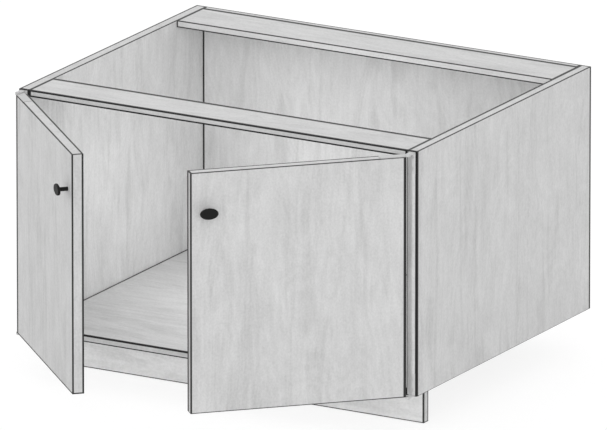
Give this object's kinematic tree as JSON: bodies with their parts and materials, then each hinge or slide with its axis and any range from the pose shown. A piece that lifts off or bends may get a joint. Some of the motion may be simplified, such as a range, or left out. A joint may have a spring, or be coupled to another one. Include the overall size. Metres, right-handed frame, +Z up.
{
  "type": "sink base cabinet",
  "caption": "Open-topped base cabinet for a sink, with two hinged doors standing half open, oval knobs, a recessed kick board and levelling legs.",
  "frame": {"origin": "middle of the whole object's footprint, with both doors at their half open rest place, at floor level", "axes": "+X to the right seen from the front, +Y to the back (the wall side), +Z up"},
  "size_m": [0.8, 0.9234, 0.512],
  "materials": {
    "board": "light grey woodgrain melamine on chipboard, satin",
    "knob_black": "matt black",
    "hinge_paint": "lacquered in the board's grey",
    "steel": "zinc plated",
    "zinc": "die cast",
    "beech": "fluted beech",
    "black_plastic": "moulded",
    "white_plastic": "moulded",
    "magnet": "ferrite with steel pole plates"
  },
  "bodies": {
    "carcass": {"left_side_panel": "board", "right_side_panel": "board", "bottom_panel": "board", "back_panel": "board", "front_rail": "board", "rear_rail": "board", "kick_board": "board", "wood_dowels": "beech", "cam_locks": "zinc", "cam_bolts": "steel", "back_panel_screws": "steel", "catch_screws": "steel", "leg_screws": "steel", "clip_screws": "steel", "hinge_bracket_screws": "hinge_paint", "left_plinth_clip": "black_plastic", "right_plinth_clip": "black_plastic", "left_catch_housing": "white_plastic", "right_catch_housing": "white_plastic", "left_catch_magnet": "magnet", "right_catch_magnet": "magnet", "front_left_leg_socket": "black_plastic", "front_right_leg_socket": "black_plastic", "rear_left_leg_socket": "black_plastic", "rear_right_leg_socket": "black_plastic", "left_top_hinge_bracket": "hinge_paint", "left_bottom_hinge_bracket": "hinge_paint", "right_top_hinge_bracket": "hinge_paint", "right_bottom_hinge_bracket": "hinge_paint"},
    "left_door": {"left_door": "board", "left_knob": "knob_black", "left_knob_screw": "steel", "left_strike_plate": "steel", "left_strike_screws": "steel", "left_hinge_leaf_screws": "hinge_paint", "left_top_hinge_leaf": "hinge_paint", "left_bottom_hinge_leaf": "hinge_paint", "left_top_hinge_pin": "steel", "left_bottom_hinge_pin": "steel"},
    "right_door": {"right_door": "board", "right_knob": "knob_black", "right_knob_screw": "steel", "right_strike_plate": "steel", "right_strike_screws": "steel", "right_hinge_leaf_screws": "hinge_paint", "right_top_hinge_leaf": "hinge_paint", "right_bottom_hinge_leaf": "hinge_paint", "right_top_hinge_pin": "steel", "right_bottom_hinge_pin": "steel"},
    "front_left_foot": {"front_left_leg_foot": "black_plastic"},
    "front_right_foot": {"front_right_leg_foot": "black_plastic"},
    "rear_left_foot": {"rear_left_leg_foot": "black_plastic"},
    "rear_right_foot": {"rear_right_leg_foot": "black_plastic"}
  },
  "joints": [
    {"name": "left_door_hinge", "type": "hinge", "parent": "carcass", "child": "left_door", "pos_m": [-0.3918, -0.17715, 0.2905], "axis": [0, 0, -1], "range_deg": [-45, 65]},
    {"name": "right_door_hinge", "type": "hinge", "parent": "carcass", "child": "right_door", "pos_m": [0.3918, -0.17715, 0.2905], "axis": [0, 0, 1], "range_deg": [-45, 65]},
    {"name": "front_left_foot_screw", "type": "slide", "parent": "carcass", "child": "front_left_foot", "axis": [0, 0, 1], "range_m": [-0.006, 0.008]},
    {"name": "front_right_foot_screw", "type": "slide", "parent": "carcass", "child": "front_right_foot", "axis": [0, 0, 1], "range_m": [-0.006, 0.008]},
    {"name": "rear_left_foot_screw", "type": "slide", "parent": "carcass", "child": "rear_left_foot", "axis": [0, 0, 1], "range_m": [-0.006, 0.008]},
    {"name": "rear_right_foot_screw", "type": "slide", "parent": "carcass", "child": "rear_right_foot", "axis": [0, 0, 1], "range_m": [-0.006, 0.008]}
  ]
}
